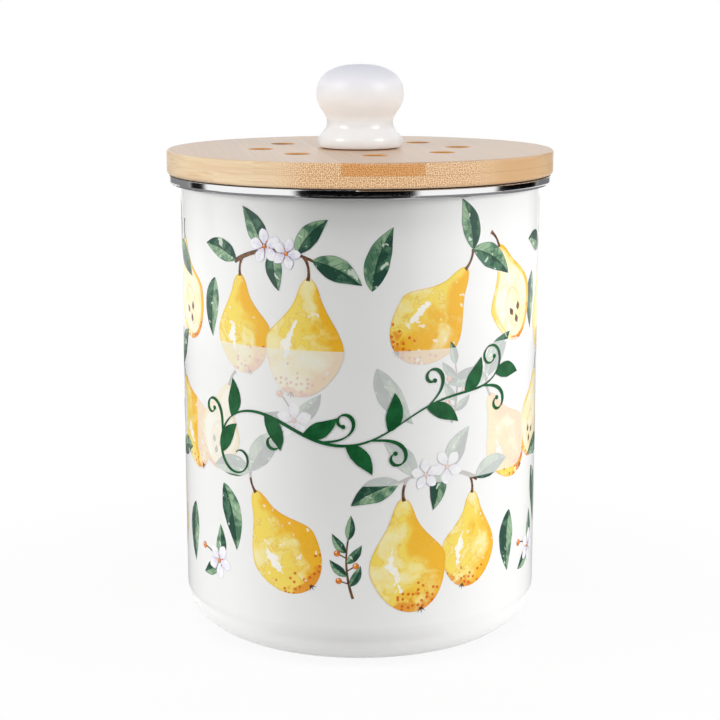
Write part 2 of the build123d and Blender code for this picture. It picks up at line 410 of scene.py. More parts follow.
# a real washer, but its brown is partly painted shade for the gap under the foot
pad_rubber.set(Base_Color=dust.mix((112, 74, 46), (140, 96, 60)))
pad_rubber.set(Roughness=0.6 + 0.2 * dust, Normal=dust.relief(0.02 * MM))
dress(pad_rubber, "knob_pad")

# %% [markdown]
# The seal is white silicone, satin and a little milky, and dust dulls it in patches. Light
# goes a short way into it, so it has a constant touch of subsurface scatter.

# %% Silicone seal
silicone = Finish("silicone_seal")
dull = silicone.noise(240, 4)
silicone.set(Base_Color=dull.mix((222, 224, 222), (236, 237, 235)))
silicone.set(Roughness=0.38 + 0.22 * dull, IOR=1.41)
silicone.set(Normal=silicone.noise(1600, 2).relief(0.01 * MM))
silicone.set(Subsurface_Weight=0.2, Subsurface_Radius=(2 * MM, 2 * MM, 2 * MM))
dress(silicone, "lid_gasket")

# %% [markdown]
# The hardware: a brass insert, and zinc-plated screws and washer with a faint bluish bloom. A
# lathe tool leaves rings, so the noise of their relief is squeezed along the axis.

# %% Brass and zinc
brass = Finish("turned_brass")
tarnish = brass.noise(500, 4)
rings = brass.noise(160, 2, where=brass.place((1, 1, 30)))
brown = tarnish.step(0.4, 0.75)
brass.set(Base_Color=brown.mix((214, 178, 98), (176, 134, 66)), Metallic=1.0)
brass.set(Roughness=0.24 + 0.2 * tarnish, Normal=rings.relief(0.01 * MM))
dress(brass, "knob_insert")

zinc = Finish("zinc_plate")
bloom = zinc.noise(380, 4)
turning = zinc.noise(200, 2, where=zinc.place((1, 1, 25)))
zinc.set(Base_Color=bloom.mix((190, 194, 200), (214, 214, 210)), Metallic=1.0)
zinc.set(Roughness=0.26 + 0.18 * bloom, Normal=turning.relief(0.008 * MM))
dress(zinc, "knob_screw", "knob_washer", "collar_screws")

# %% [markdown]
# The collar and the cage are injection moulded. The mould is spark-eroded, so the plastic is
# evenly matt with a very fine pebble, and it flows in slightly uneven shades.

# %% Moulded plastic
plastic = Finish("moulded_plastic")
pebble = plastic.noise(2600, 2)
flow = plastic.noise(45, 3, 0.5, 0.6)
plastic.set(Base_Color=flow.mix((230, 230, 226), (239, 239, 236)))
plastic.set(Roughness=0.44 + 0.12 * pebble, Normal=pebble.relief(0.012 * MM))
dress(plastic, "filter_collar", "filter_cage")

# %% [markdown]
# Each surface is a grid of points worked out as whole arrays, often carried round the axis,
# and these put the points and the faces between them into a mesh in one go.

# %% From arrays to a piece
def carried(bearing, radius, height):
    """Points carried round the upright axis, by a bearing to the right of straight ahead."""
    parts = (radius * np.sin(bearing), -radius * np.cos(bearing), height)
    return np.stack(np.broadcast_arrays(*parts), axis=-1)


def numbered(points):
    """The numbers of a grid's points, laid out as the grid is."""
    return np.arange(points[..., 0].size).reshape(points.shape[:2])


def grid_faces(number):
    """Four corners for each cell of a grid of point numbers. Where the rows run to the right
    and the columns run up, the faces look at the reader."""
    corners = (number[:-1, :-1], number[1:, :-1], number[1:, 1:], number[:-1, 1:])
    return np.stack(corners, axis=-1).reshape(-1, 4)


def placed(name, data):
    """A new object in the scene, for a mesh, a lamp or a camera."""
    made = bpy.data.objects.new(name, data)
    bpy.context.scene.collection.objects.link(made)
    return made


def piece_from(name, points, faces, finish):
    """A mesh object from rows of x, y, z and lists of corner numbers, shaded smooth."""
    mesh = bpy.data.meshes.new(name)
    mesh.from_pydata(points.reshape(-1, 3).tolist(), [], [list(face) for face in faces])
    mesh.polygons.foreach_set("use_smooth", np.ones(len(mesh.polygons), bool))
    mesh.materials.append(finish.material)
    print(f"{name}: {len(mesh.vertices)} vertices, {len(mesh.polygons)} faces")
    return placed(name, mesh)

# %% [markdown]
# The filter is a disc punched from thick felt that holds ground charcoal: its edges are softly
# rounded, its faces sink a little here and there, and its skin is of short fibres. The outline
# is carried round the axis, and the hollows are waves that meet after a full turn.

# %% Charcoal felt
felt = Finish("charcoal_felt")
fibres = felt.noise(1500, 5, 0.7, 1.2)
grit = felt.cells(felt.here, 900.0, 1.0, "3D")[0]
felt_grey = fibres.step(0.35, 0.75).mix((38, 38, 40), (84, 84, 88))
felt.set(Base_Color=felt_grey.toned(grit.step(0.25, 0.1) * 0.6, (20, 20, 21)))
felt.set(Roughness=0.85 + 0.1 * fibres, Normal=(fibres + 0.5 * grit).relief(0.35 * MM))
felt.set(Sheen_Weight=0.15, Sheen_Roughness=0.5)

# %% Felt filter pad
pad_low, pad_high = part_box("carbon_filter")
pad_radius = pad_high.x
pad_middle = (pad_low.z + pad_high.z) / 2
pad_half = (pad_high.z - pad_low.z) / 2
edge_depth = 2.2 * MM
hollow = 0.35 * MM
face_rows, edge_rows, around = 34, 17, 120


def felt_outline():
    """Radius and height from the middle of the lower face to that of the upper one: two level
    faces, and between them an edge whose cosine and sine are raised to a power under 1."""
    angle = np.linspace(-pi / 2, pi / 2, edge_rows)
    bulge = np.abs(np.cos(angle)) ** 0.6
    level = np.sign(angle) * np.abs(np.sin(angle)) ** 0.6
    face = np.linspace(0, pad_radius - edge_depth, face_rows, endpoint=False)[1:]
    radius = np.concatenate([face, pad_radius - edge_depth * (1 - bulge), face[::-1]])
    height = np.concatenate([-np.ones(len(face)), level, np.ones(len(face))])
    return radius, pad_half * height


def felt_skin(turn, radius, height):
    """The outline carried round the axis. Three slow waves, each of the turn and the radius,
    are added and scaled to 0 to 1, and the skin sinks by that share of the hollow."""
    waves = sum(np.sin(a * turn + b * radius) for a, b in ((3, 150), (7, -290), (12, 430)))
    sunk = hollow * (0.5 + waves / 6)
    radius = radius * (1 - sunk / pad_radius)
    height = height * (1 - sunk / pad_half)
    return np.stack([radius * np.cos(turn), radius * np.sin(turn), pad_middle + height], axis=-1)


radius, height = felt_outline()
turn = np.linspace(0, 2 * pi, around, endpoint=False)
skin = felt_skin(turn[:, None], radius[None], height[None])
numbers = numbered(skin)
numbers = np.vstack([numbers, numbers[:1]])
faces = list(grid_faces(numbers))
low_end, high_end = numbers.max() + 1, numbers.max() + 2
faces += [[low_end, b, a] for a, b in zip(numbers[:-1, 0], numbers[1:, 0])]
faces += [[high_end, a, b] for a, b in zip(numbers[:-1, -1], numbers[1:, -1])]
poles = np.array([[0, 0, skin[:, 0, 2].mean()], [0, 0, skin[:, -1, 2].mean()]])
felt_pad = piece_from("carbon_filter_felt", np.vstack([skin.reshape(-1, 3), poles]), faces, felt)
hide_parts("carbon_filter")
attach(felt_pad, "filter_holder")

# %% [markdown]
# The print is coloured enamels screened on a film and fired on the white coat until they sink
# into its gloss. In the wall's own shader its edges would be only as sharp as a baked texture,
# so every shape is its own very thin plate wrapped on the wall, and only the washes of colour
# inside are shader work. The design: pears, leaves, blossoms and sprigs of berries.

# %% Flat shapes
film_lift = 0.020 * MM      # gap between the white coat and an ink of layer 0
film_step = 0.010 * MM      # each layer lies this much further out than the one before
film_body = 0.005 * MM      # thickness of one ink
fine_end = 0.05 * MM        # half width at a pointed end, so that no face shrinks to nothing
sharp_angle = radians(40)   # edges that turn by more are sharp


def smooth(low, high, value):
    """A smooth step from 0 at low to 1 at high."""
    share = np.clip((value - low) / (high - low), 0, 1)
    return share * share * (3 - 2 * share)


def even(count):
    """Steps from 0 to 1, all alike."""
    return np.linspace(0, 1, count)


def rounded(count):
    """Steps from 0 to 1 that crowd together at both ends, for round-ended shapes."""
    return 0.5 - 0.5 * np.cos(np.linspace(0, pi, count))


def path(start, length, headings):
    """A line of that length whose direction at each step is given in radians from level: the
    running sum of short steps, each turned to its heading."""
    steps = np.stack([np.cos(headings), np.sin(headings)], axis=-1) * length / (len(headings) - 1)
    middles = (steps[1:] + steps[:-1]) / 2
    return np.array(start) + np.vstack([np.zeros((1, 2)), np.cumsum(middles, axis=0)])


def wrap(flat, lift):
    """Rolls flat points on the wall: across becomes an arc round the axis, starting at the
    front, up stays up, and lift is how far the point stands off the white coat."""
    return carried(flat[..., 0] / wall_radius, wall_radius + lift, flat[..., 1])


class Transfer:
    """The shapes that one ink prints. They are gathered as plates and made one piece."""

    def __init__(self, name, finish):
        self.name = name
        self.finish = finish
        self.points, self.faces, self.motif, self.depth = [], [], [], []

    def strip(self, spine, half_width, layer, seed, cells=8):
        """Adds one shape: each point of its spine is widened to both sides by the half width
        there, at a right angle to the spine. The plate has a front, a back and a narrow wall."""
        heading = np.gradient(spine, axis=0)
        heading = heading / np.hypot(heading[:, :1], heading[:, 1:])
        side = np.stack([-heading[:, 1], heading[:, 0]], axis=-1)
        half = np.maximum(half_width, fine_end)
        v = np.linspace(-1, 1, cells + 1)
        flat = spine[:, None] + (half[:, None] * v)[..., None] * side[:, None]
        lift = film_lift + layer * film_step
        front = sum(map(len, self.points)) + numbered(flat)
        back = front + front.size
        edge = np.concatenate([front[:-1, 0], front[-1, :-1], front[:0:-1, -1], front[0, :0:-1]])
        after = np.roll(edge, -1)
        wall = np.stack([edge, edge + front.size, after + front.size, after], axis=-1)
        self.points += [wrap(flat, lift + film_body).reshape(-1, 3), wrap(flat, lift).reshape(-1, 3)]
        self.faces += [grid_faces(front), grid_faces(back)[:, ::-1], wall]
        t = even(len(spine))
        motif = np.stack(np.broadcast_arrays(t[:, None], v[None], seed), axis=-1).reshape(-1, 3)
        depth = (half[:, None] * (1 - np.abs(v))).ravel() / MM
        self.motif += [motif, motif]
        self.depth += [depth, depth]

    def finished(self):
        """Joins the plates. The narrow walls are marked sharp, so that the fronts keep the
        wall's own smooth shading, and the attributes carry the motif to the shader."""
        piece = piece_from(self.name, np.vstack(self.points), np.vstack(self.faces), self.finish)
        mesh = piece.data
        mesh.set_sharp_from_angle(angle=sharp_angle)
        for name, kind, field, rows in (("motif", "FLOAT_VECTOR", "vector", self.motif),
                                        ("depth", "FLOAT", "value", self.depth)):
            values = np.concatenate(rows).astype(np.float32).ravel()
            mesh.attributes.new(name, kind, "POINT").data.foreach_set(field, values)
        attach(piece, "canister")

# %% [markdown]
# At the front a thin coat of white is screened over the repeat, in a panel with rounded
# corners, so that a dark green vine can be read on it. The inks' shaders work its outline out
# from the place on the wall, with no more plates.

# %% Front panel
panel_middle = 109.5 * MM
panel_half = (88 * MM, 28.5 * MM)
panel_corner = 9 * MM
panel_blur = 0.15 * MM
panel_white = 0.62


def panel_veil(ink):
    """How much white lies over a point: all of it inside the panel and none outside."""
    beyond = [ink.round_wall.size() - (panel_half[0] - panel_corner),
              (ink.z - panel_middle).size() - (panel_half[1] - panel_corner)]
    across, up = [part.math("MAXIMUM", 0.0) for part in beyond]
    from_corner = across.diagonal(up)
    return from_corner.step(panel_corner + panel_blur, panel_corner - panel_blur) * panel_white

# %% [markdown]
# The inks are watercolour-like. A wash is uneven: it pools and darkens along its outline,
# dries in pale and deep clouds with a thin tide line between them, and leaves bare specks.

# %% Washes
class Ink(Finish):
    """A finish that knows its place in a motif (along it, across it and how deep inside its
    outline), the motif's seed, which shifts its noise, and the way round the wall."""

    def __init__(self, name):
        super().__init__(name)
        enamel_skin(self)
        motif = self.node("Attribute", {"attribute_name": "motif"}, out="Vector")
        self.along, self.across, self.seed = motif.parts()
        self.depth = self.node("Attribute", {"attribute_name": "depth"}, out="Fac")
        self.here = self.node("VectorMath", {"operation": "ADD"}, {0: self.here, 1: self.seed * 0.37})
        self.round_wall = self.bearing() * wall_radius

    def coat(self, share, *shade):
        """Lays one more colour over the ones so far, by a share."""
        self.colour = self.colour.toned(share, shade)

    def fired(self, name, veiled=True):
        """Sets the colour, under the white panel or over it, and gives a transfer that prints
        with this ink."""
        if veiled:
            self.coat(panel_veil(self), 243, 243, 242)
        self.set(Base_Color=self.colour)
        return Transfer(name, self)


# Pears: pale and deep yellow clouds, sunned on one side.
ink = Ink("pear_ink")
cloud = ink.noise(62, 3, 0.55, 0.4)
bloom = ink.noise(210, 4, 0.6, 0.8)
tone = cloud * 0.75 + bloom * 0.25
ripe = (ink.seed * 0.377 + 0.2).math("FRACT")
sunny = (ink.across * 0.30 + cloud * 1.2 + ink.along * 0.20 + ripe * 0.16).step(0.76, 1.02)
ink.colour = tone.step(0.36, 0.54).mix((252, 240, 180), (251, 224, 100))
ink.coat(ink.across.step(0.45, 0.95) * (1 - ripe) * 0.6, 240, 218, 62)
ink.coat(sunny * 0.9, 247, 184, 40)
ink.coat((tone - 0.5).size().step(0.012, 0.0) * 0.35, 226, 158, 40)

# The russet base: a wash with a ragged upper edge, stippled with rust.
ragged = (bloom - 0.5) * 0.5 + (cloud - 0.5) * 0.3 - ink.across.size() * 0.05
russet = (ink.along + ragged).step(0.76, 0.84)
flat_place = ink.node("CombineXYZ", {}, {0: ink.round_wall + ink.seed * 0.013, 1: ink.z})
dots, dot_tone = ink.cells(flat_place, 440.0, 0.85)
chosen = ink.node("SeparateColor", {}, {0: dot_tone}, "Red")
dot = dots.step(0.34, 0.24) * (chosen + ink.along.step(0.58, 0.92) * 0.75).step(1.02, 1.06)
ink.coat(russet * (0.6 + 0.4 * bloom), 234, 146, 44)
ink.coat(dot * 0.85, 216, 92, 30)

# Bare white left as the shine, a few flecks of it, the pool along the outline, and specks.
shine = (ink.across + 0.42).size() * 2.3 + (ink.along - 0.56).size() * 3.2 + bloom * 1.3
ink.coat(shine.step(1.02, 0.96) * 0.92, 255, 253, 248)
ink.coat(ink.noise(330, 1).step(0.71, 0.73) * 0.8, 253, 248, 230)
ink.coat(ink.depth.step(1.1, 0.0) * (0.3 + 0.7 * bloom) * 0.5, 226, 148, 44)
ink.coat(ink.noise(900, 2).step(0.5, 0.8) * 0.06, 200, 130, 40)
pears = ink.fired("print_pears")

# Flesh: cream, with a ring round its core.
ink = Ink("flesh_ink")
along = ink.along - 0.64
cloud = ink.noise(120, 4, 0.6, 0.5)
core = ink.across * ink.across * 0.9 + along * along * 7.0 + cloud * 0.06
ink.colour = cloud.step(0.35, 0.65).mix((254, 249, 226), (251, 236, 180))
ink.coat((core - 0.20).size().step(0.05, 0.0) * 0.45, 224, 192, 116)
ink.coat(core.step(0.20, 0.05) * 0.25, 246, 222, 150)
ink.coat(ink.depth.step(1.6, 0.2) * 0.7, 243, 214, 120)
flesh = ink.fired("print_flesh")

# Leaves: one half darker, with veins, a midrib and a pale shine.
ink = Ink("leaf_ink")
from_midrib = ink.across.size()
clouds = ink.noise(130, 3, 0.55, 0.5) * 0.7 + ink.noise(420, 4, 0.6, 0.6) * 0.2
tone = clouds + ink.across.step(-0.03, 0.03) * 0.22
vein_at = (ink.along * 7.0 - from_midrib * 1.5).math("FRACT")
vein = (vein_at - 0.5).size().step(0.10, 0.03) * from_midrib.step(0.95, 0.5)
ink.colour = tone.step(0.42, 0.52).mix((42, 78, 64), (80, 122, 96))
ink.coat(tone.step(0.58, 0.72), 154, 186, 150)
ink.coat(vein * 0.55, 32, 66, 54)
ink.coat(from_midrib.step(0.10, 0.04) * 0.8, 34, 70, 52)
ink.coat(ink.noise(260, 1, 0.5, 0.7).step(0.68, 0.71) * 0.75, 226, 238, 222)
ink.coat(ink.depth.step(0.5, 0.0) * 0.5, 30, 70, 52)
leaves = ink.fired("print_leaves")

# Petals: white, shaded with lilac.
ink = Ink("petal_ink")
shade = (ink.noise(320, 3, 0.6) + ink.along * -0.3).step(0.25, 0.55)
ink.colour = shade.mix((254, 253, 255), (232, 228, 246))
ink.coat(ink.depth.step(0.35, 0.05) * 0.6, 190, 186, 220)
ink.coat(ink.across.size().step(0.12, 0.04) * (0.4 - 0.4 * ink.along), 186, 182, 220)
petals = ink.fired("print_petals")

# Berries: orange, with one round shine.
ink = Ink("berry_ink")
along, across = ink.along - 0.34, ink.across + 0.3
ink.colour = ink.noise(520, 3, 0.6).step(0.35, 0.65).mix((236, 150, 52), (214, 104, 40))
ink.coat((across * across + along * along * 3.0).step(0.09, 0.05) * 0.85, 254, 236, 206)
ink.coat(ink.depth.step(0.5, 0.0) * 0.5, 176, 78, 34)
berries = ink.fired("print_berries")

# Stalks, and the vine, which lies over the white panel.
ink = Ink("stalk_ink")
ink.colour = ink.noise(500, 3, 0.6).step(0.35, 0.65).mix((92, 64, 48), (134, 96, 66))
ink.coat(ink.across.step(0.1, 0.7) * 0.4, 64, 44, 38)
stalks = ink.fired("print_stalks")

ink = Ink("vine_ink")
ink.colour = ink.noise(200, 3, 0.6).step(0.3, 0.7).mix((22, 82, 44), (34, 104, 58))
vine = ink.fired("print_vine", veiled=False)

# %% [markdown]
# Each motif is one strip or a few. A pear is a strip down its core: a half ellipse rounds both
# ends and a smooth step from neck to belly narrows its top. A leaf follows a bent midrib. The
# larger motifs are small compositions of these.

# %% Motifs
def lie(at, lean, points):
    """Flat points about their own origin, turned by lean and moved to at."""
    across = points[:, 0] * cos(lean) - points[:, 1] * sin(lean)
    up = points[:, 0] * sin(lean) + points[:, 1] * cos(lean)
    return np.stack([across, up], axis=-1) + np.array(at)


def lie_one(at, lean, across, up):
    """One flat point, turned and moved in the same way."""
    return lie(at, lean, np.array([[across, up]]))[0]


def towards(at, heading, reach):
    """The point that lies in a direction from another, at that distance."""
    return np.array(at) + reach * np.array([cos(heading), sin(heading)])


def part_way(line, share):
    """What a line, or a row of values, holds at a share of the way along it."""
    return line[int(share * (len(line) - 1))]


def wobble(t, seed, share):
    """A hand's unevenness: two slow waves of t, whose phases come from the seed."""
    return 1 + share * (np.sin(5.1 * t + 9.7 * seed) + 0.6 * np.sin(11.3 * t + 23.9 * seed))


def aim(heading, flip):
    """A heading as it is for a flip of 1, and mirrored from side to side for a flip of -1."""
    return pi / 2 + flip * (heading - pi / 2)


def circle(t):
    """Half a circle's width for t from 0 to 1 across it: sqrt(1 - (2t - 1)^2)."""
    return np.sqrt(np.clip(1 - (2 * t - 1) ** 2, 0, 1))


def pear_half_width(t, length):
    """Half the pear's width, from stalk to base, for t from 0 to 1: a half ellipse times a
    smooth step from neck to belly."""
    return 0.355 * length * circle(t) * (0.40 + 0.60 * smooth(0.14, 0.62, t))


def leaf(root, heading, length, width, layer, seed, bend=0.6, transfer=leaves):
    """A leaf whose midrib starts at root and turns by bend on its way, and whose half width
    is a sine of the way along it, fullest a little before the middle."""
    t = even(30)
    midrib = path(root, length, heading + bend * (t - 0.3))
    half = width / 2 * np.sin(pi * t ** 0.82) ** 0.95 * wobble(t * 2, seed, 0.022)
    transfer.strip(midrib, half, layer, seed)


def disc(transfer, at, radius, layer, seed, rows=13, cells=6):
    """A round spot: a short strip whose half width is that of a circle."""
    t = rounded(rows)
    spine = np.array(at) + np.stack([np.zeros(rows), radius * (1 - 2 * t)], axis=-1)
    transfer.strip(spine, radius * circle(t), layer, seed, cells)


def pear(at, lean, length, layer, seed, cut=False):
    """A pear with its stalk. A whole one has the little dry flower at its base, and a cut one
    shows a pale face with a core and three pips inside a rim of skin."""
    t = rounded(46)
    bow_way = 1 if seed % 2 < 1 else -1
    bow = 0.05 * length * np.sin(pi * t) * bow_way
    core = np.stack([bow, length * (0.5 - t)], axis=-1)
    half = pear_half_width(t, length)
    pears.strip(lie(at, lean, core), half * wobble(t, seed, 0.012), layer, seed, 16)
    top = lie_one(at, lean, 0, 0.475 * length)
    rise = path(top, 0.2 * length, lean + pi / 2 + np.linspace(-0.1, 0.7, 12) * bow_way)
    stalks.strip(rise, 0.55 * MM + 0.35 * MM * np.abs(even(12) * 2 - 1) ** 3, layer + 1, seed, 4)
    if cut:
        flesh.strip(lie(at, lean, core * 0.91), half * 0.87, layer + 1, seed, 16)
        t = rounded(14)
        for side, drop in ((-1, 0.14), (1, 0.14), (0, 0.24)):
            pip_at = lie_one(at, lean, side * 0.085 * length + bow[len(bow) // 2], -drop * length)
            pip = path(pip_at, 0.105 * length, np.full(14, lean - pi / 2 - side * 0.35))
            stalks.strip(pip, 0.075 * length * t * np.sqrt(1 - t), layer + 2, seed + side, 4)
        return rise[-1]
    base = lie_one(at, lean, 0, -0.475 * length)
    for turn in (-0.7, 0.0, 0.7):
        sepal = path(base, 0.055 * length, np.full(8, lean - pi / 2 + turn))
        stalks.strip(sepal, 0.5 * MM * (1 - even(8)), layer + 1, seed, 2)
    return rise[-1]


def blossom(at, size, layer, seed):
    """Five broad petals that lap over each other, round an orange eye with its stamens."""
    t = even(11)
    disc(berries, at, 0.13 * size, layer + 3, seed, 9, 4)
    for k in range(5):
        heading = seed + k * 2 * pi / 5
        half = 0.30 * size * np.sin(pi * t ** 1.15) ** 0.7 * wobble(t, seed + k, 0.06)
        midrib = path(towards(at, heading, 0.10 * size), 0.85 * size, heading + 0.25 * (t - 0.5))
        petals.strip(midrib, half, layer + k % 3, seed + k, 4)
        stamen = towards(at, heading + 0.6, 0.30 * size)
        disc(berries, stamen, 0.045 * size, layer + 3, seed + k, 7, 4)


def sprig(root, heading, length, layer, seed, bend=0.5):
    """A thin twig with leaves on alternate sides, a leaf at its tip and three berries."""
    t = even(24)
    twig = path(root, length, heading + bend * t)
    stalks.strip(twig, 0.45 * MM * (1.3 - 0.6 * t), layer, seed, 4)
    for k, share in enumerate((0.22, 0.42, 0.62, 0.80)):
        side = 1 if k % 2 else -1
        leaf(part_way(twig, share), heading + bend * share + side * 0.8, 0.40 * length, 0.15 * length,
             layer + 1 + k % 2, seed + k, -0.5 * side)
    leaf(twig[-1], heading + bend, 0.42 * length, 0.155 * length, layer + 1, seed + 5, 0.3)
    for k, share in enumerate((0.30, 0.52, 0.70)):
        side = -1 if k % 2 else 1
        turn = heading + bend * share + side * 1.1
        knot = part_way(twig, share)
        stalks.strip(path(knot, 0.17 * length, np.full(8, turn)), np.full(8, 0.28 * MM), layer, seed, 2)
        disc(berries, towards(knot, turn, 0.17 * length), 0.052 * length, layer + 3, seed + k)


def bough(at, flip, seed):
    """A bent twig from which two pears hang at different heights, with leaves and blossoms."""
    def beside(share, across, up):
        return part_way(twig, share) + np.array([across * flip, up]) * MM

    t = even(40)
    twig = path(np.array(at) + np.array([-20 * flip, -3]) * MM, 40 * MM, aim(0.55 - 1.0 * t, flip))
    stalks.strip(twig, (1.0 - 0.45 * t) * MM, 2, seed, 4)
    for share, drop, drift, lean, size, layer in (
            (0.22, 29.2, -2, 0.12, 42, 0), (0.76, 34.6, 3, -0.16, 50, 4)):
        pear(beside(share, drift, -drop), lean * flip, size * MM, layer, seed + share)
    for share, heading, bend, long, wide, layer in (
            (0.98, -0.35, -0.5, 23, 10, 8), (0.80, 0.95, -0.6, 20, 8.5, 7), (0.42, 2.0, 0.5, 21, 9, 7),
            (0.04, 2.75, 0.6, 21, 9, 8), (0.52, -1.45, 0.3, 17, 7.5, 9)):
        knot = part_way(twig, share)
        leaf(knot, aim(heading, flip), long * MM, wide * MM, layer, seed + share, bend * flip)
    for across, up, size, layer, later in ((-3.5, 1.5, 8.0, 10, 0.3), (6.5, -1.0, 7.0, 13, 1.1)):
        blossom(beside(0.52, across, up), size * MM, layer, seed + later)


def leafy_pear(at, lean, length, layer, seed):
    """One pear with two leaves at the end of its stalk."""
    tip = pear(at, lean, length, layer, seed)
    leaf(tip, lean + pi / 2 + 0.9, 0.48 * length, 0.20 * length, layer + 2, seed + 1, 0.6)
    leaf(tip, lean + pi / 2 - 1.2, 0.55 * length, 0.22 * length, layer + 3, seed + 2, -0.6)


def posy(at, lean, layer, seed):
    """A single blossom with two leaves behind it and a bud on a thin stalk."""
    leaf(at, lean + 0.5, 17 * MM, 7 * MM, layer, seed, 0.5)
    leaf(at, lean + 2.9, 15 * MM, 6.5 * MM, layer, seed + 1, -0.5)
    stem = path(at, 13 * MM, lean + 1.6 + 0.6 * even(10))
    stalks.strip(stem, np.full(10, 0.32 * MM), layer, seed, 2)
    disc(berries, stem[-1], 1.6 * MM, layer + 1, seed)
    blossom(at, 8.5 * MM, layer + 2, seed)

# %% [markdown]
# The print is one composition, repeated three times round the wall. Nothing in it sits in rows
# or columns: boughs stand high on one side and low on the other, and single fruit, leaves and
# sprigs fill the room between them. The seeds vary the washes, the hand's unevenness, a pear's
# bow and a blossom's turn. They are fixed numbers, so every run prints the same.

# %% The composition
units = 3
unit_width = 2 * pi * wall_radius / units


def unit(middle, seed):
    """One third of the print: each motif placed by its millimetres to the right of the
    middle and up from the base."""
    def put(across, up):
        return np.array([middle + across * MM, up * MM])

    bough(put(-37, 176), 1, seed)
    leafy_pear(put(31, 154), -0.75, 47 * MM, 0, seed + 5)
    pear(put(73, 158), 0.35, 45 * MM, 0, seed + 11, cut=True)
    leaf(put(5, 163), 1.35, 28 * MM, 10.5 * MM, -1, seed + 3.3, -0.5)
    sprig(put(40, 106), 1.25, 25 * MM, 0, seed + 6, 0.5)
    leaf(put(-70, 165), -1.75, 26 * MM, 9.5 * MM, -1, seed + 3.9, 0.5)

    pear(put(-66, 101), -0.25, 40 * MM, 0, seed + 8, cut=True)
    posy(put(-28, 108), 0.2, 0, seed + 9)
    leaf(put(7, 131), -1.1, 29 * MM, 10.5 * MM, -1, seed + 2.2, 0.5)
    leafy_pear(put(73, 98), 0.6, 44 * MM, 0, seed + 10)

    bough(put(34, 83), -1, seed + 13)
    leafy_pear(put(-34, 56), 0.6, 48 * MM, 0, seed + 14)
    sprig(put(-3, 32), 1.9, 26 * MM, 0, seed + 15, -0.5)
    leaf(put(-66, 76), -1.2, 30 * MM, 11 * MM, -1, seed + 4.4, -0.5)
    posy(put(-70, 40), 0.9, 0, seed + 16)
    leaf(put(76, 62), -1.7, 28 * MM, 10.5 * MM, -1, seed + 1.2, 0.5)


for k in range(units):
    unit((k - 1) * unit_width, 7.7 * k)
for transfer in (pears, leaves, petals):
    print(transfer.name, "holds", len(transfer.faces) // 3, "shapes")

# %% [markdown]
# The vine on the panel is a scroll drawn with a broad nib, which makes the line thick or thin
# by the direction in which it moves. The direction turns slowly in the middle and ever faster
# towards both ends, which rolls them into curls; side shoots curl the same way.

# %% The vine
nib_angle = radians(35)
nib_wide, nib_thin = 0.85 * MM, 0.28 * MM


def nib(headings, taper):
    """Half the stroke's width: widest where it runs across the nib, and tapered at its ends."""
    return (nib_thin + (nib_wide - nib_thin) * np.abs(np.sin(headings - nib_angle))) * taper


def scroll(start, length, headings, layer, seed):
    """A stroke along a path, ending in a small round drop."""
    line = path(start, length, headings)
    t = even(len(headings))
    vine.strip(line, nib(headings, 0.55 + 0.45 * np.sin(pi * t) ** 0.5), layer, seed, 4)
    disc(vine, line[-1], 0.95 * MM, layer + 1, seed)
    return line


# The main stem, set in the middle of the panel; shares of it run from -1 to 1.
stem_length = 216 * MM
t = np.linspace(-1, 1, 240)
headings = 0.50 * np.sin(2.2 * pi * t) + 0.06 + 7.4 * np.abs(t) ** 5
loose = path((0, 0), stem_length, headings)
start = np.array([0, panel_middle]) - (loose.min(axis=0) + loose.max(axis=0)) / 2
stem = scroll(start, stem_length, headings, 19, 3)

shoots = ((-0.62, 30), (-0.36, 30), (-0.1, 32), (0.1, 32), (0.36, 30), (0.62, 30))
for k, (share, reach) in enumerate(shoots):
    side = -1 if k % 2 else 1
    curl = part_way(headings, (share + 1) / 2) + side * (0.35 + 6.2 * even(60) ** 2.4)
    scroll(part_way(stem, (share + 1) / 2), reach * MM, curl, 18, share)
for k, share in enumerate(np.linspace(-0.7, 0.7, 9)):
    side = 1 if k % 2 else -1
    heading = part_way(headings, (share + 1) / 2) + side * 0.75
    leaf(part_way(stem, (share + 1) / 2), heading, 17 * MM, 7 * MM, 20, k, 0.7 * side, vine)
print("vine spans", np.round(np.ptp(stem, axis=0) / MM, 1), "mm")

for transfer in (pears, flesh, leaves, petals, berries, stalks, vine):
    transfer.finished()

# %% [markdown]
# The studio is a white tent. The world is white where a camera, a mirror or glass looks at it,
# and a softer grey where it only lights things. The floor keeps the canister's shadow near it
# and fades to white further off. From below it is clear, so that the underside shows.

# %% World and floor
tent_light = 0.50
floor_radius = 3.0


def seen_directly(graph):
    """1 for rays from the camera, from a mirror or through glass, and 0 for the others."""
    rays = ("Is Camera Ray", "Is Glossy Ray", "Is Transmission Ray")
    camera, glossy, glass = graph.node("LightPath", out=rays)
    return (camera + glossy + glass).math("MINIMUM", 1.0)


world = bpy.data.worlds.new("white_tent")
bpy.context.scene.world = world
tent = Graph(world)
background = tent.tree.nodes["Background"]
background.inputs["Color"].default_value = (1, 1, 1, 1)
tent.join(background.inputs["Strength"], seen_directly(tent) * (1 - tent_light) + tent_light)

pale = Finish("pale_floor")
pale.set(Base_Color=(0.72, 0.72, 0.72, 1), Roughness=0.7)
distance = pale.node("VectorMath", {"operation": "LENGTH"}, {0: pale.here}, "Value")
glow = seen_directly(pale) * (0.92 + 0.08 * distance.step(0.09, 0.30))
from_above = glow.blend(pale.surface, pale.node("Emission", {}, {"Color": (1, 1, 1, 1)}))
from_below = pale.node("NewGeometry", out="Backfacing")
pale.show(from_below.blend(from_above, pale.node("BsdfTransparent")))

rings = floor_radius * np.linspace(0.02, 1, 40)[:, None]
turn = np.linspace(0, 2 * pi, 96)
points = np.stack(np.broadcast_arrays(rings * np.cos(turn), rings * np.sin(turn), 0.0), axis=-1)
floor = piece_from("floor", points, grid_faces(numbered(points)), pale)

